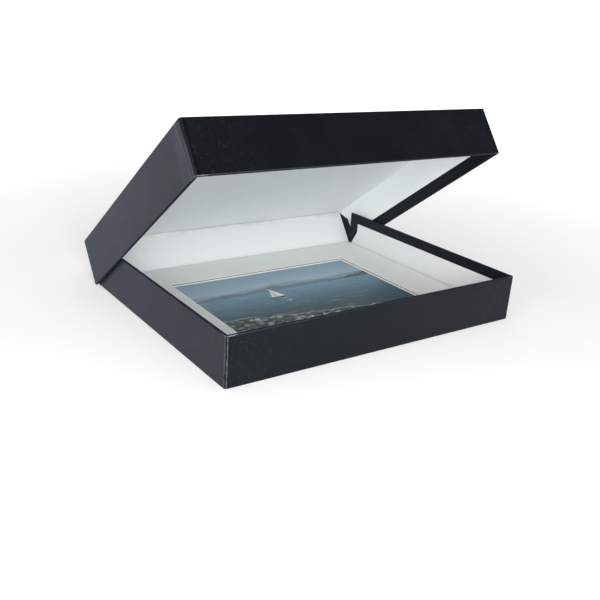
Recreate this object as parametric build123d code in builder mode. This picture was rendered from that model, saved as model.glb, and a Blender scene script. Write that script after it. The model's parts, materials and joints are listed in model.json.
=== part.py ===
from build123d import *
import os
from math import cos, hypot, radians, sin, sqrt

# Clamshell box for matted prints, standing open with one matted print lying in its tray.
# Tray and lid are three-walled cases of board, wrapped outside in leather-grained cloth that is
# turned in over the rims and wall ends, and lined inside with white paper-faced card.
# A separate spine board joins them at the back: the outer cloth and the inner lining run on
# across its two long edges and are the hinges.
# Origin: centre of the tray's underside. +X right, +Y towards the spine, +Z up. Millimetres.

# ---- Driving dimensions ----

# Matted print: a window mat and a foam-cored backing board with the print between them.
mat_width = 355.6
mat_depth = 279.4
mat_thickness = 2.2
window_width = 241.3
window_depth = 165.1
bevel_angle = 45.0
print_width = 254.0
print_depth = 177.8
print_thickness = 0.25
backing_thickness = 4.8

# Build-up of every panel and wall, from outside to inside.
cloth = 0.4
board = 2.2
lining = 0.55

# Cases.
mat_play = 3.0
tray_height = 51.0
side_clearance = 1.5
head_room = 0.85
rim_clearance = 0.5
swing_clearance = 0.5
corner_facet = 1.9
edge_radius = 0.7

# Cloth turned in over rims and wall ends, and its slanted cut beside the spine.
tray_turn_in = 12.0
lid_turn_in = 14.5
end_turn_in = 16.0
tray_cut_rise = 24.0
lid_cut_rise = 16.0
end_margin = 1.2

# Spine and hinges.
spine_gap = 0.4
spine_side_gap = 0.8
lining_side_gap = 0.3
open_angle = 36.5

# ---- Worked-out places ----

wall = cloth + board + lining

tray_half = mat_width / 2 + mat_play + wall
tray_rear = (mat_depth + 2 * mat_play + wall) / 2
tray_front = -tray_rear

# The lower hinge line runs along the middle of the cloth at the spine's outer bottom edge.
hinge_reach = spine_gap + lining + board + cloth / 2
pivot_y = tray_rear + hinge_reach
pivot_z = cloth / 2

# In the closed frame, heights and depths of lid and spine count from the lower hinge line.
lid_top = tray_height + head_room + wall - pivot_z
lid_hinge_height = lid_top - cloth / 2
lid_rim = rim_clearance - pivot_z
front_swing = hypot(pivot_y - tray_front, tray_height - pivot_z)
lid_front = -(front_swing + swing_clearance + wall)
lid_rear = cloth / 2
lid_half = tray_half + side_clearance + wall
lid_height = lid_top - lid_rim

spine_half = lid_half - wall - spine_side_gap
spine_end = wall - cloth / 2
spine_bottom = spine_end
spine_top = lid_hinge_height - spine_end

hinge_lining_half = tray_half - wall - lining_side_gap
backing_base = wall
print_base = backing_base + backing_thickness
mat_base = print_base + print_thickness
mat_centre = (0, tray_front + wall + mat_play + mat_depth / 2)

# A case's edges may be rounded up to three times the cloth before its boards would show.
wrap_radius = min(edge_radius, 3 * cloth)
# A tenth of a side board's thickness stays where its corner is pared off under the facet.
deepest_paring = 0.9 * board

# ---- Frames ----

tray_frame = Plane.XY
# Lid and spine stand square to each other, turned back together about the lower hinge line.
closed_frame = Plane(
    origin=(0, pivot_y, pivot_z),
    x_dir=(1, 0, 0),
    z_dir=(0, sin(radians(open_angle)), cos(radians(open_angle))),
)
# A case is drawn with its panel at the bottom, so the lid's own frame hangs upside down.
lid_frame = Plane(
    origin=closed_frame.from_local_coords((0, 0, lid_top)),
    x_dir=(-1, 0, 0),
    z_dir=-closed_frame.z_dir,
)


def side_view(frame, x):
    """Plane across the frame at x, drawn with depth to the right and height up."""
    return Plane(origin=frame.from_local_coords((x, 0, 0)), x_dir=frame.y_dir, z_dir=frame.x_dir)


def panel(x_low, x_high, y_low, y_high):
    """Rectangle between two depths and two widths of the sketch it is called in."""
    with Locations(((x_low + x_high) / 2, (y_low + y_high) / 2)):
        Rectangle(x_high - x_low, y_high - y_low)


def plate(frame, low, high, x_low, x_high, y_low, y_high):
    """Flat rectangular sheet lying in the frame between two heights."""
    with BuildPart() as sheet:
        with BuildSketch(frame.offset(low)):
            panel(x_low, x_high, y_low, y_high)
        extrude(amount=high - low)
    return sheet.part


# ---- Cases: tray and lid ----


def side_board(frame, side, half, front, rear, height):
    """Side wall's board, with its front outer edge pared off under the corner's facet."""
    outer = side * (half - cloth)
    inner = side * (half - cloth - board)
    pared = min(corner_facet - cloth * (2 - sqrt(2)), deepest_paring)
    with BuildPart() as piece:
        with BuildSketch(frame.offset(cloth)):
            with BuildLine():
                Polyline(
                    (inner, front + cloth),
                    (outer - side * pared, front + cloth),
                    (outer, front + cloth + pared),
                    (outer, rear - cloth),
                    (inner, rear - cloth),
                    close=True,
                )
            make_face()
        extrude(amount=height - 2 * cloth)
    return piece.part


def side_lining(frame, side, half, front, rear, height, turn_in, cut_rise):
    """Side wall's lining, inside the turned-in cloth and cut on a slant beside the spine."""
    face = side * (half - cloth - board)
    low = cloth + board
    with BuildPart() as piece:
        with BuildSketch(side_view(frame, face)):
            with BuildLine():
                Polyline(
                    (front + low, low),
                    (rear - end_margin, low),
                    (rear - end_turn_in, wall + cut_rise),
                    (rear - end_turn_in, height - turn_in),
                    (front + low, height - turn_in),
                    close=True,
                )
            make_face()
        extrude(amount=-side * lining)
    return piece.part


def case_wrap(frame, half, front, rear, panel_rear, height, filling):
    """Cloth cover: a skin over the outside, turned in over the rims and round the wall ends."""
    skin = 2 * cloth + board
    with BuildPart() as piece:
        with BuildSketch(frame):
            panel(-half, half, front, rear)
            chamfer(vertices().sort_by(Axis.Y)[:2], corner_facet)
        extrude(amount=height)
        outside = edges().filter_by(
            lambda edge: frame.to_local_coords(edge.center()).Y < rear - cloth / 2
        )
        fillet(outside, wrap_radius)
        # The open inside, from the panel's cloth up and out through the spine side.
        with BuildSketch(frame.offset(cloth)):
            panel(-half + skin, half - skin, front + skin, rear + skin)
        extrude(amount=height, mode=Mode.SUBTRACT)
        # The panel's cloth stops at the panel's spine edge, between the linings of the walls.
        with BuildSketch(frame):
            panel(-half + wall, half - wall, panel_rear, rear + skin)
        extrude(amount=cloth, mode=Mode.SUBTRACT)
        for part in filling:
            add(part, mode=Mode.SUBTRACT)
    return piece.part


def covered_case(name, panel_name, sides, frame, half, front, rear, panel_rear, height, turn_in, cut_rise):
    """Boards, linings and wrap of one three-walled case, its panel's outer face on the frame."""
    stock = cloth + board
    boards = {
        f"{name}_{panel_name}_board": plate(
            frame, cloth, stock, -half + stock, half - stock, front + stock, panel_rear
        ),
        f"{name}_front_board": plate(
            frame, cloth, height - cloth, -half + stock, half - stock, front + cloth, front + stock
        ),
    }
    linings = {
        f"{name}_{panel_name}_lining": plate(
            frame, stock, wall, -half + wall, half - wall, front + wall, panel_rear
        ),
        f"{name}_front_lining": plate(
            frame, stock, height - turn_in, -half + wall, half - wall, front + stock, front + wall
        ),
    }
    for side_name, side in sides.items():
        boards[f"{name}_{side_name}_board"] = side_board(frame, side, half, front, rear, height)
        linings[f"{name}_{side_name}_lining"] = side_lining(
            frame, side, half, front, rear, height, turn_in, cut_rise
        )
    pieces = {**boards, **linings}
    pieces[f"{name}_wrap"] = case_wrap(
        frame, half, front, rear, panel_rear, height, list(pieces.values())
    )
    return pieces


pieces = covered_case(
    "tray",
    "base",
    {"left": -1, "right": 1},
    tray_frame,
    tray_half,
    tray_front,
    tray_rear,
    tray_rear,
    tray_height,
    tray_turn_in,
    tray_cut_rise,
)
pieces |= covered_case(
    "lid",
    "top",
    {"left": 1, "right": -1},
    lid_frame,
    lid_half,
    lid_front,
    lid_rear,
    -hinge_reach,
    lid_height,
    lid_turn_in,
    lid_cut_rise,
)

# ---- Spine ----

with BuildPart() as spine_board:
    with BuildSketch(closed_frame.offset(spine_bottom)):
        panel(-spine_half + cloth, spine_half - cloth, -cloth / 2 - board, -cloth / 2)
    extrude(amount=spine_top - spine_bottom)

# The spine's cloth covers its outer face and folds round its two short edges.
with BuildPart() as spine_wrap:
    with BuildSketch(closed_frame.offset(spine_bottom)):
        panel(-spine_half, spine_half, -cloth / 2 - board, cloth / 2)
        with Locations((0, -cloth / 2 - board / 2)):
            Rectangle(2 * (spine_half - cloth), board, mode=Mode.SUBTRACT)
    extrude(amount=spine_top - spine_bottom)

with BuildPart() as spine_lining:
    with BuildSketch(closed_frame.offset(spine_bottom)):
        panel(-spine_half, spine_half, -cloth / 2 - board - lining, -cloth / 2 - board)
    extrude(amount=spine_top - spine_bottom)

pieces["spine_board"] = spine_board.part
pieces["spine_wrap"] = spine_wrap.part
pieces["spine_lining"] = spine_lining.part

# ---- Hinges ----


def hinge_cloth(pivot_height, case_edge, spine_edge, half):
    """Outer cloth folded over a hinge line, from the case's edge to the spine's edge."""
    with BuildPart() as strip:
        with BuildSketch(side_view(closed_frame, -half)):
            with BuildLine():
                Polyline(case_edge, (0, pivot_height), spine_edge)
            trace(line_width=cloth)
            with Locations((0, pivot_height)):
                Circle(cloth / 2)
        extrude(amount=2 * half)
    return strip.part


def hinge_lining(outline, half):
    """Inner lining carried across the gap between a case's panel and the spine."""
    with BuildPart() as strip:
        with BuildSketch(side_view(closed_frame, -half)):
            with BuildLine():
                Polyline(*outline, close=True)
            make_face()
        extrude(amount=2 * half)
    return strip.part


def closed_point(depth, height):
    """A point of the tray's side view, as the closed frame's side view sees it."""
    local = closed_frame.to_local_coords(Vector(0, depth, height))
    return (local.Y, local.Z)


spine_face = -cloth / 2 - board - lining
spine_back = -cloth / 2 - board
pieces["base_hinge_cloth"] = hinge_cloth(
    0, closed_point(tray_rear, cloth / 2), (0, spine_bottom), tray_half
)
pieces["base_hinge_lining"] = hinge_lining(
    [
        closed_point(tray_rear, cloth + board),
        closed_point(tray_rear, wall),
        (spine_face, spine_bottom),
        (spine_back, spine_bottom),
    ],
    hinge_lining_half,
)
pieces["top_hinge_cloth"] = hinge_cloth(
    lid_hinge_height, (-hinge_reach, lid_hinge_height), (0, spine_top), spine_half
)
pieces["top_hinge_lining"] = hinge_lining(
    [
        (-hinge_reach, lid_top - wall),
        (-hinge_reach, lid_top - cloth - board),
        (spine_back, lid_top - cloth - board),
        (spine_back, spine_top),
    ],
    spine_half,
)

# ---- Matted print ----

with BuildPart() as backing_board:
    with BuildSketch(tray_frame.offset(backing_base)):
        with Locations(mat_centre):
            Rectangle(mat_width, mat_depth)
    extrude(amount=backing_thickness)

with BuildPart() as photo_print:
    with BuildSketch(tray_frame.offset(print_base)):
        with Locations(mat_centre):
            Rectangle(print_width, print_depth)
    extrude(amount=print_thickness)

# The window is cut on a slant, so that its edge shows the mat's core all round the print.
with BuildPart() as window_mat:
    with BuildSketch(tray_frame.offset(mat_base)):
        with Locations(mat_centre):
            Rectangle(mat_width, mat_depth)
    extrude(amount=mat_thickness)
    with BuildSketch(tray_frame.offset(mat_base)):
        with Locations(mat_centre):
            Rectangle(window_width, window_depth)
    extrude(amount=mat_thickness, taper=-bevel_angle, mode=Mode.SUBTRACT)

pieces["backing_board"] = backing_board.part
pieces["photo_print"] = photo_print.part
pieces["window_mat"] = window_mat.part

os.makedirs("parts", exist_ok=True)
for name, part in pieces.items():
    part.label = name
    export_step(part, f"parts/{name}.step")
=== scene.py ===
# %% [markdown]
# # A clamshell box for matted prints
# Tray, lid and spine are grey board, wrapped outside in black leather-grained cloth that turns
# in over the rims, and lined inside with white paper. Folds in that cloth are the two hinges.
# The construction comes in at its real size as a fixed frame, which nothing here moves. This
# lesson gives every surface its finish, and makes the strips of cloth and paper that bend.

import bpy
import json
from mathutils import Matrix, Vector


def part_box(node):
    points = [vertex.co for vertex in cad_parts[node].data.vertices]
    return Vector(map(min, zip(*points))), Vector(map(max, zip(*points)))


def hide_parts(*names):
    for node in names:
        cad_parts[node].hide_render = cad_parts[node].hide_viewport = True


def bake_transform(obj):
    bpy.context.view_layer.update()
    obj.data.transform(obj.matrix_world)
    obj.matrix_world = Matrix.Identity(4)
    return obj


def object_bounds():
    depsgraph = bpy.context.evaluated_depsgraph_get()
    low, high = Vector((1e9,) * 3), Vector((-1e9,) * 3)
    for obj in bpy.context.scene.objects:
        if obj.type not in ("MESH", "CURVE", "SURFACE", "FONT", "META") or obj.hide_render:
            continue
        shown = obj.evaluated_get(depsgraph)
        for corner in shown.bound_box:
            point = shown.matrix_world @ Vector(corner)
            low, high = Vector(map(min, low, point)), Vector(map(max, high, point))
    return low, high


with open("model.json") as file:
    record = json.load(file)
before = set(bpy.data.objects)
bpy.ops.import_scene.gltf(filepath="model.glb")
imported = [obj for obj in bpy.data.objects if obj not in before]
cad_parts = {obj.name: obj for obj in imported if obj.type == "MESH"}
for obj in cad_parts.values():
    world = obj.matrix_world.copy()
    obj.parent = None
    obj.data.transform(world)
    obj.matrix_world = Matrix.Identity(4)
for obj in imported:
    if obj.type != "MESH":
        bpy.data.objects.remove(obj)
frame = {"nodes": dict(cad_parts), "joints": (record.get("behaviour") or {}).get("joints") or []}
cad_low, cad_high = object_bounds()
cad_size = [round(size, 4) for size in cad_high - cad_low]
print("construction:", len(frame["nodes"]), "pieces,", cad_size, "m")

# %% Tools
import json
from math import pi, radians

import bmesh
import bpy
from mathutils import Matrix, Vector, noise
from mathutils.geometry import interpolate_bezier

MM = 0.001
print("lengths are in metres, so a millimetre is", MM)

# %% [markdown]
# ## Frames to measure in
# The tray stands square to the world, but the lid leans back with the box open. A pattern or a
# worn edge on the lid is far easier to place in the lid's own frame, where its walls are
# square. That frame turns about the lower hinge line, and the joints say where that line is and
# how far the box is open.

# %% The tray's frame and the lid's frame
joints = {joint["name"]: joint for joint in frame["joints"]}
lower_hinge = Vector(joints["spine_hinge"]["pos_m"])
upper_hinge = Vector(joints["lid_hinge"]["pos_m"])
# The lower hinge's range starts at the shut box, so its start says how far the box is open.
open_turn = -radians(joints["spine_hinge"]["range_deg"][0])
tray_frame = Matrix.Identity(4)
lid_frame = Matrix.Translation(lower_hinge) @ Matrix.Rotation(-open_turn, 4, "X")


def span(node, own_frame):
    """Lowest and highest corner of a node in a frame of its own."""
    into = own_frame.inverted()
    points = [into @ vertex.co for vertex in frame["nodes"][node].data.vertices]
    low = Vector([min(point[axis] for point in points) for axis in range(3)])
    high = Vector([max(point[axis] for point in points) for axis in range(3)])
    return low, high


# %% [markdown]
# ## Camera
# The box is seen from in front and to the left, a little above it, and the view is tipped by a
# few degrees. A camera looks along its own -Z, so it is stood upright first, then turned about
# the world's Z, and rolled about its own line of sight.

# %% Camera
camera_place = (-0.48868, -0.66218, 0.32029)
camera_turn = radians(-36.2457)
camera_dip = radians(21.1415)
camera_roll = radians(3.9799)
focal_length = 46.2

camera = bpy.data.objects.new("camera", bpy.data.cameras.new("camera"))
bpy.context.scene.collection.objects.link(camera)
bpy.context.scene.camera = camera
camera.data.lens = focal_length
camera.matrix_world = (
    Matrix.Translation(camera_place)
    @ Matrix.Rotation(camera_turn, 4, "Z")
    @ Matrix.Rotation(pi / 2 - camera_dip, 4, "X")
    @ Matrix.Rotation(camera_roll, 4, "Z")
)
print("camera stands", round(Vector(camera_place).length, 3), "m from the box's origin")

# %% [markdown]
# ## Recipes for materials
# A procedural material is a chain of small steps: where am I, how far from that edge, how much
# wear is there. A short helper keeps such a chain readable, because each step becomes one line
# of code. Positions come from Object coordinates, turned into the piece's own frame by a
# Mapping node, so that a pattern stays on its piece when the box moves.

# %% Colours
bpy.context.scene.view_settings.view_transform = "Standard"


def shade(code):
    """Linear colour of a six-digit screen colour."""
    screen = [int(code[start:start + 2], 16) / 255 for start in (0, 2, 4)]
    # A screen's own curve runs straight near black, and as a power above that.
    linear = [
        part / 12.92 if part <= 0.04045 else ((part + 0.055) / 1.055) ** 2.4 for part in screen
    ]
    return (*linear, 1.0)


white = shade("ffffff")
print("a screen grey of 808080 is", round(shade("808080")[0], 3), "as an amount of light")

# %% Steps of a recipe
# The Mix node also mixes numbers and vectors, so its colours come late among its sockets.
mix_share, mix_first, mix_second, mix_result = 0, 6, 7, 2


class Steps:
    """The node tree of one material, and the small sums that lead to a pattern."""

    def __init__(self, name, own_frame=tray_frame):
        self.material = bpy.data.materials.new(name)
        self.material.use_nodes = True
        self.tree = self.material.node_tree
        self.shader = self.tree.nodes["Principled BSDF"]
        position = self.step("TexCoord", output="Object")
        turn = tuple(own_frame.to_euler())
        start = tuple(own_frame.translation)
        # The texture kind of mapping undoes a turn and a shift, which leads into the frame.
        self.place = self.step("Mapping", position, start, turn, vector_type="TEXTURE")

    def feed(self, socket, value):
        """Link a step's result to a socket, or set a plain number or colour on it."""
        if isinstance(value, bpy.types.NodeSocket):
            self.tree.links.new(value, socket)
        else:
            socket.default_value = value

    def step(self, kind, *values, output=0, **settings):
        """A node with its first inputs fed in order. Gives back one of its outputs."""
        node = self.tree.nodes.new("ShaderNode" + kind)
        for name, value in settings.items():
            setattr(node, name, value)
        for socket, value in zip(node.inputs, values):
            self.feed(socket, value)
        return node.outputs[output]

    def maths(self, operation, *values):
        """One sum of the Math node."""
        return self.step("Math", *values, operation=operation)

    def plus(self, first, second):
        """Two results added."""
        return self.maths("ADD", first, second)

    def minus(self, first, second):
        """The first result less the second."""
        return self.maths("SUBTRACT", first, second)

    def times(self, *values):
        """Several results multiplied together."""
        product = values[0]
        for value in values[1:]:
            product = self.maths("MULTIPLY", product, value)
        return product

    def largest(self, *values):
        """The largest of several results."""
        best = values[0]
        for value in values[1:]:
            best = self.maths("MAXIMUM", best, value)
        return best

    def ramp(self, value, start, end, low=0.0, high=1.0):
        """low at start and high at end, straight between them and level beyond."""
        return self.step("MapRange", value, start, end, low, high)

    def soft(self, value, start, end):
        """0 at start and 1 at end, eased between them, whichever of the two is larger."""
        return self.step(
            "MapRange", value, start, end, 0.0, 1.0, interpolation_type="SMOOTHSTEP",
        )

    def mix(self, share, first, second):
        """Two colours mixed: all of the first at 0, all of the second at 1."""
        node = self.tree.nodes.new("ShaderNodeMix")
        node.data_type = "RGBA"
        for index, value in ((mix_share, share), (mix_first, first), (mix_second, second)):
            self.feed(node.inputs[index], value)
        return node.outputs[mix_result]


print("steps to sum with:", [name for name in vars(Steps) if not name.startswith("_")])

# %% [markdown]
# ## Patterns
# Cloth, paper, board and pebbles all come from two patterns. Clouds are soft noise, good for
# fibres, stains and unevenness. Cells are rounded cells about scattered points, good for grain
# and stones. Stretched along an axis they turn into streaks, and bent by clouds they lose their
# stiffness. A painted image would blur close up, and these never do.

# %% Patterns, relief and the finished material
class Recipe(Steps):
    """One procedural material, put together step by step."""

    def axes(self):
        """The three coordinates of the place."""
        return self.step("SeparateXYZ", self.place).node.outputs

    def stretched(self, *stretch, shift=(0.0, 0.0, 0.0)):
        """The place drawn together along its axes, so that a pattern on it grows longer."""
        scale = tuple(1 / amount for amount in stretch)
        return self.step("Mapping", self.place, shift, (0.0, 0.0, 0.0), scale)

    def clouds(self, size, detail=2.0, roughness=0.5, place=None, output=0):
        """Soft blotches of about that size, from 0 to 1."""
        node = self.tree.nodes.new("ShaderNodeTexNoise")
        self.feed(node.inputs["Vector"], place or self.place)
        node.inputs["Scale"].default_value = 1 / size
        node.inputs["Detail"].default_value = detail
        node.inputs["Roughness"].default_value = roughness
        return node.outputs[output]

    def cells(self, size, place=None, output=0):
        """Rounded cells of about that size: the distance from a cell's point, or its colour."""
        node = self.tree.nodes.new("ShaderNodeTexVoronoi")
        self.feed(node.inputs["Vector"], place or self.place)
        node.inputs["Scale"].default_value = 1 / size
        return node.outputs[output]

    def bent(self, size, amount):
        """The place shifted about by soft noise, which takes the stiffness out of a pattern."""
        drift = self.clouds(size, output="Color")
        return self.step(
            "VectorMath", drift, (amount,) * 3, self.place, operation="MULTIPLY_ADD",
        )

    def relief(self, height, depth, below=None):
        """Bump of that depth in metres, on top of another bump if one is given."""
        node = self.tree.nodes.new("ShaderNodeBump")
        node.inputs["Distance"].default_value = depth
        self.feed(node.inputs["Height"], height)
        if below is not None:
            self.feed(node.inputs["Normal"], below)
        return node.outputs["Normal"]

    def finish(self, colour, roughness, normal, gloss=0.5):
        """Feed the shader, and hand over the material."""
        self.feed(self.shader.inputs["Base Color"], colour)
        self.feed(self.shader.inputs["Roughness"], roughness)
        self.feed(self.shader.inputs["Normal"], normal)
        self.shader.inputs["Specular IOR Level"].default_value = gloss
        return self.material


def dress(material, *nodes):
    """Give CAD nodes a material in place of the plain one that they came with."""
    for name in nodes:
        slots = frame["nodes"][name].data.materials
        slots.clear()
        slots.append(material)


print("patterns and finish:", [name for name in vars(Recipe) if not name.startswith("_")])

# %% [markdown]
# ## Wear and painted highlight on the cover
# The cover is a thin black cloth, coated and pressed with a fine leather grain. Along rims,
# bottom edges and corners the coating rubs through to a lighter grey, most of all at the front
# corners, where hands pick the box up. The thin light lines along those edges are partly that
# wear and partly painted highlight, for the light that the edges catch. Painting them by hand
# would fix them to one view, so they are worked out: an edge is where the distances to two outer
# faces are both small.

# %% Edges of a case
# Each front corner is flattened by a narrow facet, so it has two upright edges.
facet = 1.9 * MM
line_width = 0.25 * MM
line_fade = 0.5 * MM


def depths(recipe, low, high):
    """How far a place lies in from the nearer side, the front, the bottom and the top."""
    x, y, z = recipe.axes()
    side = recipe.minus(high.x, recipe.maths("ABSOLUTE", x))
    front = recipe.minus(y, low.y)
    return side, front, recipe.minus(z, low.z), recipe.minus(high.z, z)


def edge_line(recipe, one, other, waver):
    """1 along the line where both distances are about nought, fading away beside it."""
    distance = recipe.plus(recipe.largest(one, other), waver)
    return recipe.soft(distance, line_width + line_fade, line_width)


def upright_line(recipe, side, front, sway, offset):
    """One upright edge of a front corner's facet, where it meets the side or the front."""
    along = recipe.maths("ABSOLUTE", recipe.minus(recipe.plus(front, sway), offset))
    across = recipe.maths("ABSOLUTE", recipe.minus(side, facet - offset))
    return edge_line(recipe, along, across, 0.0)


print("a worn line is", round((line_width + line_fade) / MM, 2), "mm wide on each face")

# %% Wear and painted highlight along those edges
wobble = 0.4 * MM
corner_wobble = 0.7 * MM
corner_reach = 15 * MM
# So long a stretch that a pattern no longer changes along that axis.
line_only = 1000.0
fainter = 0.7
diagonal = 0.7
rim_wear_and_highlight = 0.07
thumb_wear = 0.4
front_edge_wear_and_highlight = 0.17
left_end_wear = 0.9


def edge_wear_and_highlight(recipe, low, high, rubbed_edge, facet_wear_and_highlight):
    """How much the cover is lightened, from 0 to 1, all over one case: wear and painted highlight.
    """
    side, front, bottom, top = depths(recipe, low, high)
    waver = recipe.ramp(recipe.clouds(2.2 * MM, 3.0), 0.0, 1.0, -wobble, wobble)
    # The facet stands at 45 degrees, so a depth straight under it is about 0.7 of the sum.
    corner = recipe.times(recipe.minus(recipe.plus(side, front), facet), diagonal)
    rims = recipe.largest(*[
        edge_line(recipe, wall, level, waver)
        for wall in (front, side, corner) for level in (top, bottom)
    ])
    # The two upright lines wander and thin out by themselves, and the one on the side is fainter.
    height_only = recipe.stretched(line_only, line_only, 1.0)
    sways = recipe.clouds(9 * MM, 3.0, place=height_only)
    sway = recipe.ramp(sways, 0.25, 0.75, -corner_wobble, corner_wobble)
    thins = recipe.clouds(7 * MM, 2.0, place=height_only)
    uneven = recipe.ramp(thins, 0.35, 0.62, 0.25, 1.0)
    uprights = recipe.times(uneven, recipe.largest(
        upright_line(recipe, side, front, sway, 0.0),
        recipe.times(upright_line(recipe, side, front, sway, facet), fainter),
    ))
    # The rims wear in patches, and hardest within a thumb's width of the front corners.
    patches = recipe.soft(recipe.clouds(26 * MM, 3.0, 0.6), 0.38, 0.66)
    near_side = recipe.soft(side, corner_reach, 0.0)
    near_front = recipe.soft(front, corner_reach, 0.0)
    thumb = recipe.times(near_side, near_front)
    # One edge of the front meets hands and shelves, and its left end does so most.
    front_edge = edge_line(recipe, front, bottom if rubbed_edge == "bottom" else top, waver)
    x = recipe.axes()[0]
    from_left = recipe.soft(x, high.x, low.x)
    left_end = recipe.soft(x, low.x + corner_reach, low.x + 0.5 * corner_reach)
    return recipe.largest(
        recipe.times(rims, patches, rim_wear_and_highlight),
        recipe.times(rims, thumb, thumb_wear),
        recipe.times(front_edge, from_left, front_edge_wear_and_highlight),
        recipe.times(front_edge, left_end, left_end_wear),
        recipe.times(uprights, facet_wear_and_highlight),
    )


print("thumbs rub the rims for", round(corner_reach / MM), "mm from each front corner")

# %% [markdown]
# ## Cover cloth
# The grain is pressed into the coating with a heated roller: small pebbles with creases between
# them, and a finer crackle over both. Rounded cells make the pebbles, once soft noise has bent
# them out of line, and painted shade makes the creases a little darker. The coating is satin, so
# most of what is seen of it is a soft reflection, and broad blotches in its gloss are as telling
# as its colour. Hands leave specks and scuffs on it towards the front corners. Upright streaks
# near those corners are painted highlight, and the faces of the rims and a band beside each facet
# are painted shade. Each of those is a small pattern of its own.

# %% Pressed grain
grain_size = 1.1 * MM
grain_depth = 0.06 * MM
crackle_share = 0.4


def leather_grain(recipe):
    """Height of the pressed grain, from about -1 in its creases to 0 on its pebbles."""
    pebbles = recipe.cells(grain_size, recipe.bent(1.6 * MM, 0.9 * MM))
    crackle = recipe.clouds(0.35 * MM, 3.0)
    return recipe.minus(recipe.times(crackle, crackle_share), pebbles)


print("grain of about", round(grain_size / MM, 1), "mm")

# %% Marks of hands, painted highlight and painted shade
# How near an outer face a place has to be to count as lying on it.
skin = 1.0 * MM
corner_marks_reach = 34 * MM
speck_size = 6 * MM


def hand_marks_and_painted_light(recipe, side, front):
    """Painted highlight in upright streaks on the sides, specks and scuffs, and painted shade by
    each facet.
    """
    from_corner = recipe.largest(side, front)
    on_side = recipe.soft(side, skin, 0.3 * skin)
    on_front = recipe.soft(front, skin, 0.3 * skin)
    # The upright streaks are painted highlight, for light caught by small ridges in the cloth.
    streaks = recipe.clouds(4.5 * MM, 1.0, place=recipe.stretched(1.0, 1.0, 12.0))
    near_corner = recipe.soft(from_corner, corner_marks_reach, 0.3 * corner_marks_reach)
    streak_area = recipe.times(near_corner, on_side)
    streak_highlight = recipe.times(recipe.soft(streaks, 0.44, 0.60), streak_area)
    # Each cell has a tone of its own, and only the few with a high one hold a speck.
    tone = recipe.step("SeparateXYZ", recipe.cells(speck_size, output="Color"))
    specks = recipe.times(
        recipe.soft(recipe.cells(speck_size), 0.10, 0.05),
        recipe.soft(tone, 0.72, 0.80),
        recipe.soft(from_corner, 2 * corner_marks_reach, 0.5 * corner_marks_reach),
    )
    scuffs = recipe.times(
        recipe.soft(recipe.clouds(5 * MM, 5.0, 0.65), 0.54, 0.72),
        recipe.soft(from_corner, 3 * corner_marks_reach, 0.5 * corner_marks_reach),
        on_front,
    )
    # Painted shade: a band on the front beside each facet is darkened.
    facet_shade = recipe.times(
        on_front,
        recipe.soft(side, 0.8 * facet, 1.3 * facet),
        recipe.soft(side, 3.2 * facet, 2.0 * facet),
    )
    return streak_highlight, specks, scuffs, facet_shade


print("hands mark the cloth for", round(corner_marks_reach / MM), "mm from each front corner")

# %% Cover cloth material
# The crease colour is painted shade for the grain's creases. The bloom grey gives faint random
# blotches, and is also the painted highlight of the upright streaks. The dull colour is painted
# shade on the rims and beside each facet. The rubbed grey is worn coating, and also painted
# highlight along the edges.
cloth_black = shade("101217")
cloth_crease_shade = shade("090a0d")
cloth_rubbed_and_highlight = shade("8f9197")
bloom_and_highlight_grey = shade("888d9b")
cloth_painted_shade = shade("020203")
bloom_share = 0.008
painted_shade_share = 0.75
scuff_share = 0.05
speck_share = 0.3
rim_matt = 0.35
cool_gloss = (0.62, 0.86, 1.0, 1.0)
# The coating has a faint bloom, seen best from the side, that the shader calls sheen.
sheen_weight = 0.10
sheen_roughness = 0.35
sheen_blue = (0.30, 0.42, 1.0, 1.0)


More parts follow.
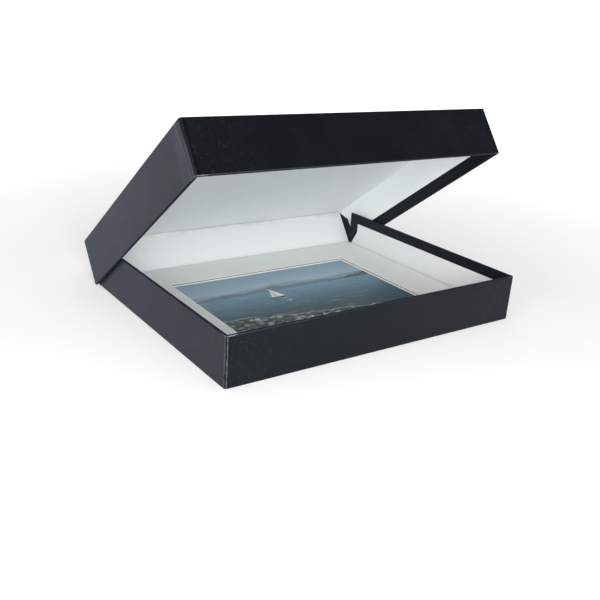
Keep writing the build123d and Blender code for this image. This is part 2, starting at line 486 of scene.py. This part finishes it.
def cover_cloth(name, own_frame, wrap, rubbed_edge, facet_wear_and_highlight, gloss, streaked):
    """Leather-grained cover of one case: wear, painted highlight and painted shade along its
    edges.
    """
    recipe = Recipe(name, own_frame)
    low, high = span(wrap, own_frame)
    side, front, bottom, top = depths(recipe, low, high)
    height = leather_grain(recipe)
    blotches = recipe.clouds(60 * MM, 3.0, 0.55)
    streak_highlight, specks, scuffs, facet_shade = hand_marks_and_painted_light(recipe, side, front)
    rim_level = bottom if rubbed_edge == "bottom" else top
    rim_face = recipe.soft(rim_level, 0.4 * skin, 0.2 * skin)
    lightened = edge_wear_and_highlight(recipe, low, high, rubbed_edge, facet_wear_and_highlight)

    # Painted shade: the grain's creases are a little darker than its pebbles.
    colour = recipe.mix(recipe.soft(height, -0.55, 0.0), cloth_crease_shade, cloth_black)
    bloomed = recipe.times(recipe.soft(blotches, 0.4, 0.75), bloom_share)
    colour = recipe.mix(bloomed, colour, bloom_and_highlight_grey)
    # Painted highlight: the upright streaks near the corners are lighter.
    colour = recipe.mix(recipe.times(streak_highlight, streaked), colour, bloom_and_highlight_grey)
    # Painted shade: the faces of the rims and a band beside each facet are darker.
    shaded_rims_and_facets = recipe.times(recipe.largest(facet_shade, rim_face), painted_shade_share)
    colour = recipe.mix(shaded_rims_and_facets, colour, cloth_painted_shade)
    colour = recipe.mix(recipe.times(scuffs, scuff_share), colour, cloth_rubbed_and_highlight)
    colour = recipe.mix(recipe.times(specks, speck_share), colour, cloth_rubbed_and_highlight)
    # Edges are lighter, partly for worn coating and partly as painted highlight.
    colour = recipe.mix(lightened, colour, cloth_rubbed_and_highlight)

    satin = recipe.ramp(blotches, 0.3, 0.7, 0.38, 0.45)
    satin = recipe.plus(satin, recipe.times(streak_highlight, -streaked))
    roughness = recipe.plus(satin, recipe.times(rim_face, rim_matt))
    recipe.shader.inputs["Specular Tint"].default_value = cool_gloss
    recipe.shader.inputs["Sheen Weight"].default_value = sheen_weight
    recipe.shader.inputs["Sheen Roughness"].default_value = sheen_roughness
    recipe.shader.inputs["Sheen Tint"].default_value = sheen_blue
    return recipe.finish(colour, roughness, recipe.relief(height, grain_depth), gloss=gloss)


# %% Cover on tray, lid and spine
tray_cloth = cover_cloth(
    "tray_cover_cloth", tray_frame, "tray_wrap",
    rubbed_edge="top", facet_wear_and_highlight=0.38, gloss=0.21, streaked=0.012,
)
lid_cloth = cover_cloth(
    "lid_cover_cloth", lid_frame, "lid_wrap",
    rubbed_edge="bottom", facet_wear_and_highlight=0.02, gloss=0.2, streaked=0.055,
)
dress(tray_cloth, "tray_wrap")
dress(lid_cloth, "lid_wrap", "spine_wrap")
print("cover cloth on tray, lid and spine")

# %% [markdown]
# ## Lining paper
# The inside is lined with a smooth white paper on thin card. Pasted paper is never dead flat:
# it cockles a little, and its fibres catch the light. Cockles of less than a millimetre would
# need a dense mesh, so both are relief, one broad and one fine. The paper is painted greyer at
# the upper fold and below it, as painted shade, and the tray's lining is painted a little
# darker than the lid's, also as painted shade.

# %% Painted shade along a fold
fold_blur = 2 * MM
shaded_reach = 60 * MM
crease_shade_reach = 12 * MM


def fold_painted_shade(recipe, fold):
    """How much painted shade the paper gets below a fold, and in wavy patches right beside it."""
    y, z = recipe.axes()[1:]
    below_fold = recipe.minus(fold.z, z)
    beside_fold = recipe.minus(fold.y, y)
    # Painted shade: the paper below the fold darkens towards it.
    shaded = recipe.times(
        recipe.soft(below_fold, shaded_reach, 0.0),
        recipe.soft(below_fold, -fold_blur, 0.0),
        recipe.soft(beside_fold, 4 * fold_blur, 2 * fold_blur),
    )
    # Painted shade in wavy patches right at the fold.
    crease_shade_noise = recipe.clouds(9 * MM, 3.0, 0.6, recipe.stretched(4.0, 1.0, 1.0))
    crease_shaded = recipe.times(
        recipe.soft(recipe.largest(below_fold, beside_fold), crease_shade_reach, 0.0),
        recipe.soft(crease_shade_noise, 0.42, 0.66),
    )
    return shaded, crease_shaded


print("paper is soiled for", round(shaded_reach / MM), "mm below its fold")

# %% Lining paper material
mark_share = 0.2
shaded_share = 0.45
crease_shade_share = 0.6
cockle_depth = 0.7 * MM
fibre_depth = 0.02 * MM
marked_white = shade("cccfcd")
# Painted shade below the fold, and in patches right at it.
shaded_white = shade("c6cac8")
crease_shade_grey = shade("b2b7b5")


def lining_paper(name, own_frame, whites, fold=None):
    """White lining with faint cockling, fibres and handling marks, and painted shade along a fold.
    """
    recipe = Recipe(name, own_frame)
    cockle = recipe.clouds(30 * MM, 1.0, place=recipe.stretched(2.5, 1.0, 1.0))
    fibres = recipe.clouds(0.9 * MM, 4.0, 0.6)
    marks = recipe.soft(recipe.clouds(22 * MM, 4.0, 0.65), 0.58, 0.80)
    colour = recipe.mix(fibres, *whites)
    colour = recipe.mix(recipe.times(marks, mark_share), colour, marked_white)
    if fold is not None:
        shaded, crease_shaded = fold_painted_shade(recipe, fold)
        colour = recipe.mix(recipe.times(shaded, shaded_share), colour, shaded_white)
        colour = recipe.mix(recipe.times(crease_shaded, crease_shade_share), colour, crease_shade_grey)
    roughness = recipe.ramp(fibres, 0.2, 0.8, 0.55, 0.70)
    normal = recipe.relief(fibres, fibre_depth, below=recipe.relief(cockle, cockle_depth))
    return recipe.finish(colour, roughness, normal, gloss=0.35)


# The tray's whites are painted darker than the lid's, as painted shade.
shaded_tray_whites = shade("d6d9d9"), shade("e6e8e7")
lid_whites = shade("dee2e2"), shade("eef1f1")
upper_fold = lid_frame.inverted() @ upper_hinge
tray_paper = lining_paper("tray_lining_paper", tray_frame, shaded_tray_whites)
lid_paper = lining_paper("lid_lining_paper", lid_frame, lid_whites, upper_fold)
dress(tray_paper, "tray_base_lining", "tray_front_lining", "tray_left_lining", "tray_right_lining")
dress(lid_paper, "lid_top_lining", "lid_front_lining", "lid_left_lining", "lid_right_lining")
dress(lid_paper, "spine_lining")
print("lining paper on tray, lid and spine")

# %% [markdown]
# ## Grey board
# Boards hide between cloth and lining, and only a thin line of them shows at a hinge or at a
# wall's end. Millboard is pulped paper pressed in layers, so it is a warm grey with light and
# dark flecks. Fine noise gives the flecks, and the same noise drawn out sideways the layers.

# %% Grey board material
pulp_dark, pulp_light, pulp_layer = shade("6f6a62"), shade("a39d93"), shade("857f76")

recipe = Recipe("grey_board")
flecks = recipe.clouds(0.8 * MM, 4.0, 0.7)
layers = recipe.clouds(0.5 * MM, place=recipe.stretched(12.0, 12.0, 1.0))
colour = recipe.mix(recipe.soft(flecks, 0.35, 0.65), pulp_dark, pulp_light)
colour = recipe.mix(recipe.times(layers, 0.4), colour, pulp_layer)
roughness = recipe.ramp(flecks, 0.2, 0.8, 0.80, 0.95)
boards = [name for name in frame["nodes"] if name.endswith("_board") and name != "backing_board"]
normal = recipe.relief(flecks, 0.08 * MM)
dress(recipe.finish(colour, roughness, normal, gloss=0.2), *boards)
print("grey board on", len(boards), "pieces")

# %% [markdown]
# ## Window mat
# The mat is thick pale board with its window cut at 45 degrees. The slanted cut shows how the
# board is laid up: a tan layer under the pale face, and pale below. The layers could be sheets
# of their own, but as colours in the cut they stay as thin as they are. The distance from the
# window's edge tells face from cut, and the height up the board tells one layer from the other.

# %% Measure the mat's window
mat_low, mat_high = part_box("window_mat")
mat_centre = (mat_low + mat_high) / 2
inside_outline = 0.9 * (mat_high.x - mat_centre.x)
window_corners = [
    vertex.co - mat_centre
    for vertex in frame["nodes"]["window_mat"].data.vertices
    if abs(vertex.co.x - mat_centre.x) < inside_outline
]
cut_top = Vector([max(abs(corner[axis]) for corner in window_corners) for axis in range(2)])
cut_foot = Vector([min(abs(corner[axis]) for corner in window_corners) for axis in range(2)])
print("window is", [round(2 * half / MM, 1) for half in cut_foot], "mm at its foot")

# %% The mat's face
cream_reach = 1.6 * MM
face_whites = shade("dfe3df"), shade("eaede9")
face_cloud, face_cream = shade("d9d8e0"), shade("f8f3e9")

recipe = Recipe("mat_board", Matrix.Translation(mat_centre))
x, y, z = recipe.axes()
from_cut = recipe.largest(
    recipe.minus(recipe.maths("ABSOLUTE", x), cut_top.x),
    recipe.minus(recipe.maths("ABSOLUTE", y), cut_top.y),
)
tooth = recipe.clouds(0.7 * MM, 4.0, 0.6)
face = recipe.mix(tooth, *face_whites)
face = recipe.mix(recipe.times(recipe.clouds(70 * MM), 0.3), face, face_cloud)
beside_cut = recipe.soft(from_cut, cream_reach, 0.2 * MM)
face = recipe.mix(recipe.times(beside_cut, 0.8), face, face_cream)
print("the face turns cream", round(cream_reach / MM, 1), "mm from the cut")

# %% The mat's slanted cut
tan_top = 0.35 * MM
tan_foot = 1.1 * MM
layer_blur = 0.08 * MM
knife_waver = 0.15 * MM
upper_ply, tan_ply, lower_ply = shade("ece6d8"), shade("736856"), shade("dad7cf")

knife_drift = recipe.ramp(recipe.clouds(6 * MM), 0.0, 1.0, -knife_waver, knife_waver)
depth = recipe.minus(mat_high.z - mat_centre.z, recipe.plus(z, knife_drift))
in_tan = recipe.times(
    recipe.soft(depth, tan_top - layer_blur, tan_top + layer_blur),
    recipe.soft(depth, tan_foot + layer_blur, tan_foot - layer_blur),
)
under_tan = recipe.soft(depth, tan_foot - layer_blur, tan_foot + layer_blur)
cut_face = recipe.mix(under_tan, upper_ply, lower_ply)
cut_face = recipe.mix(in_tan, cut_face, tan_ply)
on_cut = recipe.soft(from_cut, 0.02 * MM, -0.05 * MM)
colour = recipe.mix(on_cut, face, cut_face)
roughness = recipe.ramp(tooth, 0.2, 0.8, 0.75, 0.9)
normal = recipe.relief(tooth, 0.03 * MM)
dress(recipe.finish(colour, roughness, normal, gloss=0.25), "window_mat")
print("mat board with a tan layer", round((tan_foot - tan_top) / MM, 2), "mm thick under its face")

# %% [markdown]
# ## Backing board
# The backing is foam board: a light foam core between two sheets of paper. Its face is hidden
# under the mat, and its cut edge shows the core as a rougher, slightly greyer band. As in the
# mat, the height alone tells core from paper, and small cells make the bubbles of the foam.

# %% Backing board material
backing_low, backing_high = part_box("backing_board")
facing = 0.35 * MM
core_blur = 0.05 * MM
facing_white, core_white, bubble_grey = shade("e6e4dd"), shade("d3d2cc"), shade("b9b7b0")

recipe = Recipe("foam_board")
level = recipe.axes()[2]
core = recipe.times(
    recipe.soft(level, backing_low.z + facing, backing_low.z + facing + core_blur),
    recipe.soft(level, backing_high.z - facing, backing_high.z - facing - core_blur),
)
bubbles = recipe.cells(0.5 * MM)
colour = recipe.mix(core, facing_white, core_white)
colour = recipe.mix(recipe.times(bubbles, 0.2), colour, bubble_grey)
roughness = recipe.ramp(bubbles, 0.0, 1.0, 0.7, 0.9)
normal = recipe.relief(bubbles, 0.05 * MM)
dress(recipe.finish(colour, roughness, normal, gloss=0.25), "backing_board")
print("foam core is", round((backing_high.z - backing_low.z - 2 * facing) / MM, 2), "mm thick")

# %% [markdown]
# ## The print
# The print is a made-up lake view: mist over low hills, still water that darkens towards the
# viewer, a small sailing boat, and a shore of pebbles. Everything is drawn with distances and
# noise from the print's own centre, as a poster could be cut from paper. Far things are pale
# and blue, near things are dark and full of contrast, and that alone gives it depth.

# %% Sky and water
low_sky, high_sky, mist_white = shade("9eb6c6"), shade("7092ab"), shade("b2c1cc")
near_water, far_water = shade("17404d"), shade("6a93ab")
glint_blue, trough_blue = shade("93b4c4"), shade("1c3d4b")

recipe = Recipe("lake_print", Matrix.Translation(mat_centre))
x, y = recipe.axes()[:2]
horizon = 0.30 * cut_foot.y
# 0 at the near edge of the window and 1 at its far edge.
far = recipe.ramp(y, -cut_foot.y, cut_foot.y)

mist = recipe.clouds(60 * MM, 3.0, place=recipe.stretched(3.0, 1.0, 1.0))
sky = recipe.mix(recipe.soft(far, 0.62, 1.0), low_sky, high_sky)
sky = recipe.mix(recipe.times(mist, 0.35), sky, mist_white)

ripples = recipe.clouds(2.6 * MM, 3.0, 0.6, recipe.stretched(7.0, 1.0, 1.0))
glints = recipe.soft(ripples, 0.55, 0.72)
troughs = recipe.soft(ripples, 0.45, 0.30)
water = recipe.mix(recipe.soft(far, 0.20, 0.74), near_water, far_water)
water = recipe.mix(recipe.times(glints, 0.28), water, glint_blue)
water = recipe.mix(recipe.times(troughs, 0.35), water, trough_blue)
print("horizon", round(horizon / MM, 1), "mm above the middle of the print")

# %% Hills
far_blue, near_blue, wooded = shade("8499a8"), shade("5f7886"), shade("3b4c52")
headland_slope = 0.11


def ridge(base, rise, width, shift):
    """A wandering line across the print: its distance up from the middle at each x."""
    place = recipe.stretched(1.0, line_only, line_only, shift=(shift, 0.0, 0.0))
    waves = recipe.clouds(width, 4.0, place=place)
    return recipe.maths("MULTIPLY_ADD", waves, rise, base)


def below(edge, blur=0.4 * MM):
    """1 on the near side of a line across the print, and 0 beyond it."""
    return recipe.soft(recipe.minus(y, edge), blur, -blur)


far_hills = below(ridge(horizon - 2 * MM, rise=34 * MM, width=70 * MM, shift=0.11))
near_hills = below(ridge(horizon - 9 * MM, rise=36 * MM, width=48 * MM, shift=0.43))
scenery = recipe.mix(far_hills, sky, far_blue)
scenery = recipe.mix(near_hills, scenery, near_blue)
spit = ridge(horizon - 16 * MM, rise=22 * MM, width=22 * MM, shift=0.29)
headland = below(recipe.plus(spit, recipe.times(x, headland_slope)))
scenery = recipe.mix(headland, scenery, wooded)
scenery = recipe.mix(below(horizon), scenery, water)
print("two ranges of hills and a headland over the water")

# %% Sailing boat
boat = Vector((-28 * MM, 6 * MM))
across = recipe.minus(x, boat.x)
up = recipe.minus(y, boat.y)
paper_cut = 0.15 * MM
hull_black, main_white, jib_white = shade("2a2f33"), shade("f0efe9"), shade("dcdcd6")
trail_white = shade("dfe6e8")


def cut_shape(*sides):
    """1 inside the shape whose straight sides each keep a * across + b * up above c mm."""
    kept = []
    for a, b, c in sides:
        value = recipe.plus(recipe.times(across, a), recipe.times(up, b))
        kept.append(recipe.soft(value, c * MM - paper_cut, c * MM + paper_cut))
    return recipe.times(*kept)


hull = cut_shape((0.0, 1.0, -2.6), (0.0, -1.0, 0.0), (1.0, 0.7, -11.0), (-1.0, 0.9, -10.0))
main_sail = cut_shape((1.0, 0.0, 0.6), (0.0, 1.0, 1.4), (-1.0, -0.37, -10.5))
jib = cut_shape((-1.0, 0.0, 0.4), (0.0, 1.0, 1.4), (1.0, -0.42, -8.2))
trail = cut_shape((0.0, -1.0, 3.0), (0.0, 1.0, -26.0), (1.0, 0.0, -7.0), (-1.0, 0.0, -9.0))
scenery = recipe.mix(recipe.times(trail, glints, 0.8), scenery, trail_white)
scenery = recipe.mix(hull, scenery, hull_black)
scenery = recipe.mix(main_sail, scenery, main_white)
scenery = recipe.mix(jib, scenery, jib_white)
print("boat", [round(part / MM) for part in boat], "mm from the middle of the print")

# %% Pebble shore
wet_gap, damp_grey, foam_white = shade("151d21"), shade("46555a"), shade("c3d0d4")
small_tones = shade("252f34"), shade("7f8789")
large_tones = shade("2c363b"), shade("cfcfca")
shore_slope = -0.16


def pebbles(size, flatness, stones, tones):
    """Rounded stones of one size laid over what is there, darker towards their edges."""
    lying = recipe.stretched(flatness, 1.0, line_only)
    distance = recipe.cells(size, lying)
    tint = recipe.step("SeparateXYZ", recipe.cells(size, lying, output="Color"))
    laid = recipe.soft(distance, 0.52, 0.44)
    body = recipe.mix(recipe.soft(tint, 0.1, 0.95), *tones)
    body = recipe.mix(recipe.times(recipe.clouds(1.1 * MM, 4.0), 0.35), body, damp_grey)
    body = recipe.mix(recipe.times(recipe.soft(distance, 0.15, 0.5), 0.6), body, wet_gap)
    return recipe.mix(laid, stones, body)


slant = recipe.times(x, shore_slope)
shore = recipe.plus(ridge(-64 * MM, rise=26 * MM, width=30 * MM, shift=0.77), slant)
stones = pebbles(3.2 * MM, flatness=1.3, stones=wet_gap, tones=small_tones)
stones = pebbles(5.5 * MM, flatness=1.5, stones=stones, tones=large_tones)
foam = below(recipe.plus(shore, 1.6 * MM), 0.8 * MM)
scenery = recipe.mix(recipe.times(foam, 0.45), scenery, foam_white)
scenery = recipe.mix(below(shore), scenery, stones)
print("pebbles of two sizes, with a line of foam behind them")

# %% The print's satin surface
paper_grain = recipe.clouds(0.8 * MM, 3.0)
roughness = recipe.ramp(paper_grain, 0.2, 0.8, 0.30, 0.42)
curl = recipe.relief(recipe.clouds(90 * MM, 1.0), 0.5 * MM)
normal = recipe.relief(paper_grain, 0.008 * MM, below=curl)
dress(recipe.finish(scenery, roughness, normal, gloss=0.45), "photo_print")
print("lake print drawn with", len(recipe.tree.nodes), "nodes")

# %% [markdown]
# ## Hinge strips
# At each hinge the outer cloth folds round the outside of the boards, and a strip of lining
# dips into the joint on the inside. A strip is drawn as the line that its cross-section
# follows, set out sideways in short lengths so that it can waver a little, and given its
# thickness. A stiff strip would tear away from one side when the hinge turns. This one is made
# once, in place for the box as it stands open.

# %% Edges that the strips start from
spine_low, spine_high = span("spine_board", lid_frame)
lid_board_end = span("lid_top_board", lid_frame)[1].y
lid_lining_face = span("lid_top_lining", lid_frame)[0].z
spine_lining_face = span("spine_lining", lid_frame)[0].y
tray_board_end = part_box("tray_base_board")[1].y
tray_lining_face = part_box("tray_base_lining")[1].z


def in_lid_frame(y, z):
    """A point of the cross-section, from the lid's frame to the world."""
    return lid_frame @ Vector((0, y, z))


print("lower hinge", round((lower_hinge.y - tray_board_end) / MM, 2), "mm behind the tray's board")

# %% A sheet from its cross-section
line_points = 14
lengths = 120


def strip_sheet(start, end, handles, half_width):
    """A flat sheet: the line of its cross-section set out sideways, a length at a time."""
    line = interpolate_bezier(start, *handles, end, line_points)
    sheet = bmesh.new()
    rows = []
    for count in range(lengths + 1):
        shift = Vector((half_width * (2 * count / lengths - 1), 0, 0))
        rows.append([sheet.verts.new(point + shift) for point in line])
    for near, far in zip(rows, rows[1:]):
        for corners in zip(near, near[1:], far[1:], far):
            sheet.faces.new(corners)
    sheet.normal_update()
    return sheet


print("a sheet has", lengths, "lengths and", line_points, "points across")

# %% A strip that wavers and bends
waver_length = 13 * MM


def hinge_strip(node, hinge, start, end, dip, spread, thickness, waver, material):
    """A closed strip from start to end by way of the hinge, curved through the joint."""
    half_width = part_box(node)[1].x
    inwards = ((start + end) / 2 - hinge).normalized()
    sideways = inwards.cross(Vector((1, 0, 0)))
    dipped = hinge + inwards * dip
    handles = dipped - sideways * spread, dipped + sideways * spread
    sheet = strip_sheet(start, end, handles, half_width)
    chord = end - start
    for vertex in sheet.verts:
        along = (vertex.co - start).dot(chord) / chord.length_squared
        # 0 at both glued edges and 1 midway, where the strip is free to waver.
        slack = max(0.0, 4 * along * (1 - along))
        drift = 0.5 + 0.5 * noise.noise(Vector((vertex.co.x / waver_length, dip / MM, 0)))
        vertex.co += vertex.normal * (thickness / 2) + inwards * (waver * slack * drift)
    bmesh.ops.solidify(sheet, geom=sheet.faces[:], thickness=thickness)

    # Solidify leaves its faces in an order that changes from run to run, so they are sorted.
    sheet.verts.index_update()
    corners = [tuple(vertex.co) for vertex in sheet.verts]
    faces = sorted([corner.index for corner in face.verts] for face in sheet.faces)
    sheet.free()
    mesh = bpy.data.meshes.new(node + "_strip")
    mesh.from_pydata(corners, [], faces)
    mesh.shade_smooth()
    mesh.materials.append(material)
    piece = bpy.data.objects.new(node + "_strip", mesh)
    bpy.context.scene.collection.objects.link(piece)
    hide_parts(node)
    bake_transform(piece)
    print(piece.name, len(mesh.polygons), "faces,", round(2 * half_width / MM, 1), "mm long")


# %% Strips of the lower hinge
cloth = 0.4 * MM
paper = 0.16 * MM
half_paper = paper / 2

hinge_strip(
    "base_hinge_cloth", lower_hinge,
    start=Vector((0, tray_board_end, lower_hinge.z)), end=in_lid_frame(0, spine_low.z),
    dip=0.0, spread=0.6 * MM, thickness=cloth, waver=0.12 * MM, material=tray_cloth,
)
hinge_strip(
    "base_hinge_lining", lower_hinge,
    start=Vector((0, tray_board_end, tray_lining_face - half_paper)),
    end=in_lid_frame(spine_lining_face + half_paper, spine_low.z),
    dip=0.2 * MM, spread=1.6 * MM, thickness=paper, waver=0.2 * MM, material=tray_paper,
)

# %% Strips of the upper hinge
hinge_strip(
    "top_hinge_cloth", upper_hinge,
    start=in_lid_frame(0, spine_high.z), end=in_lid_frame(lid_board_end, upper_fold.z),
    dip=0.0, spread=0.6 * MM, thickness=cloth, waver=0.12 * MM, material=lid_cloth,
)
hinge_strip(
    "top_hinge_lining", upper_hinge,
    start=in_lid_frame(spine_lining_face + half_paper, spine_high.z),
    end=in_lid_frame(lid_board_end, lid_lining_face + half_paper),
    dip=0.2 * MM, spread=1.2 * MM, thickness=paper, waver=0.1 * MM, material=lid_paper,
)

# %% [markdown]
# ## Floor and background
# The floor is matt white. Seen directly it also glows a little, which lifts it to the white of
# the background, and what the box shades of it still reads as shadow. The world is a plain
# soft grey for the light that it gives, and white where it is seen or mirrored near the
# horizon. Higher up it darkens, as a studio does above its backdrop, so that the black cloth
# has something dark to mirror as well.

# %% Floor
floor_half = 6.0
floor_drop = 0.2 * MM
floor_colour = (0.8, 0.8, 0.8, 1.0)
glow_near = 0.28
glow_far = 1.0
glow_reach = (0.35, 1.6)

plane = bmesh.new()
bmesh.ops.create_grid(plane, x_segments=1, y_segments=1, size=floor_half)
bmesh.ops.translate(plane, verts=plane.verts, vec=(0, 0, -floor_drop))
floor_mesh = bpy.data.meshes.new("floor")
plane.to_mesh(floor_mesh)
plane.free()
floor = bpy.data.objects.new("floor", floor_mesh)
bpy.context.scene.collection.objects.link(floor)

recipe = Recipe("floor_white")
seen = recipe.step("LightPath", output="Is Camera Ray")
mirrored = recipe.step("LightPath", output="Is Glossy Ray")
outwards = recipe.step("VectorMath", recipe.place, output="Value", operation="LENGTH")
lift = recipe.ramp(outwards, *glow_reach, glow_near, glow_far)
glow = recipe.times(recipe.largest(seen, mirrored), lift)
recipe.shader.inputs["Base Color"].default_value = floor_colour
recipe.shader.inputs["Roughness"].default_value = 1.0
recipe.shader.inputs["Specular IOR Level"].default_value = 0.0
recipe.shader.inputs["Emission Color"].default_value = white
recipe.feed(recipe.shader.inputs["Emission Strength"], glow)
floor_mesh.materials.append(recipe.material)
print("floor of", round(2 * floor_half), "m, with its full glow from", glow_reach[1], "m outwards")

# %% World
ambient = 0.42
studio_dark = 0.14
horizon_band = (0.12, 0.45)

world = bpy.data.worlds.new("studio")
bpy.context.scene.world = world
world.use_nodes = True
sky_nodes = world.node_tree.nodes
join = world.node_tree.links.new
backdrop = sky_nodes["Background"]
rays = sky_nodes.new("ShaderNodeLightPath")
direction = sky_nodes.new("ShaderNodeTexCoord")
split = sky_nodes.new("ShaderNodeSeparateXYZ")
fade = sky_nodes.new("ShaderNodeMapRange")
fade.interpolation_type = "SMOOTHSTEP"
fade.inputs["From Min"].default_value, fade.inputs["From Max"].default_value = horizon_band
fade.inputs["To Min"].default_value = 1.0
fade.inputs["To Max"].default_value = studio_dark
mirrored = sky_nodes.new("ShaderNodeMath")
visible = sky_nodes.new("ShaderNodeMath")
mirrored.operation = visible.operation = "MAXIMUM"
strength = sky_nodes.new("ShaderNodeMix")
strength.inputs["A"].default_value = ambient
join(direction.outputs["Generated"], split.inputs["Vector"])
join(split.outputs["Z"], fade.inputs["Value"])
join(rays.outputs["Is Glossy Ray"], mirrored.inputs[0])
join(rays.outputs["Is Transmission Ray"], mirrored.inputs[1])
join(mirrored.outputs["Value"], visible.inputs[0])
join(rays.outputs["Is Camera Ray"], visible.inputs[1])
join(visible.outputs["Value"], strength.inputs["Factor"])
join(fade.outputs["Result"], strength.inputs["B"])
join(strength.outputs["Result"], backdrop.inputs["Strength"])
backdrop.inputs["Color"].default_value = white
print("world gives", ambient, "and shows white at the horizon")

# %% [markdown]
# ## Lights
# Four large soft lights are enough. Two stand in front, one above the other, low enough to
# reach in under the open lid. A weaker one at the left lights the walls that face it, and one
# above keeps the shadows open. Small or hard lights would burn a glare into the satin cloth.

# %% Soft lights
box_middle = Vector((0.0, 0.0, 0.08))


def soft_light(name, place, size, power):
    """A square area light that looks at the middle of the box."""
    lamp = bpy.data.lights.new(name, "AREA")
    lamp.energy = power
    lamp.size = size
    light = bpy.data.objects.new(name, lamp)
    light.location = place
    light.rotation_euler = (box_middle - Vector(place)).to_track_quat("-Z", "Y").to_euler()
    bpy.context.scene.collection.objects.link(light)
    print(name, power, "W")


soft_light("low_front_light", (-0.75, -1.65, 0.42), size=0.8, power=14.5)
soft_light("front_light", (-0.75, -1.60, 0.75), size=0.8, power=16.5)
soft_light("left_light", (-1.60, -0.60, 0.40), size=0.8, power=11.5)
soft_light("top_light", (-0.20, -0.40, 1.90), size=1.4, power=4.0)

# %% [markdown]
# ## Sizes
# A finish must not change a part's size. The box of the construction is printed where it is
# loaded.
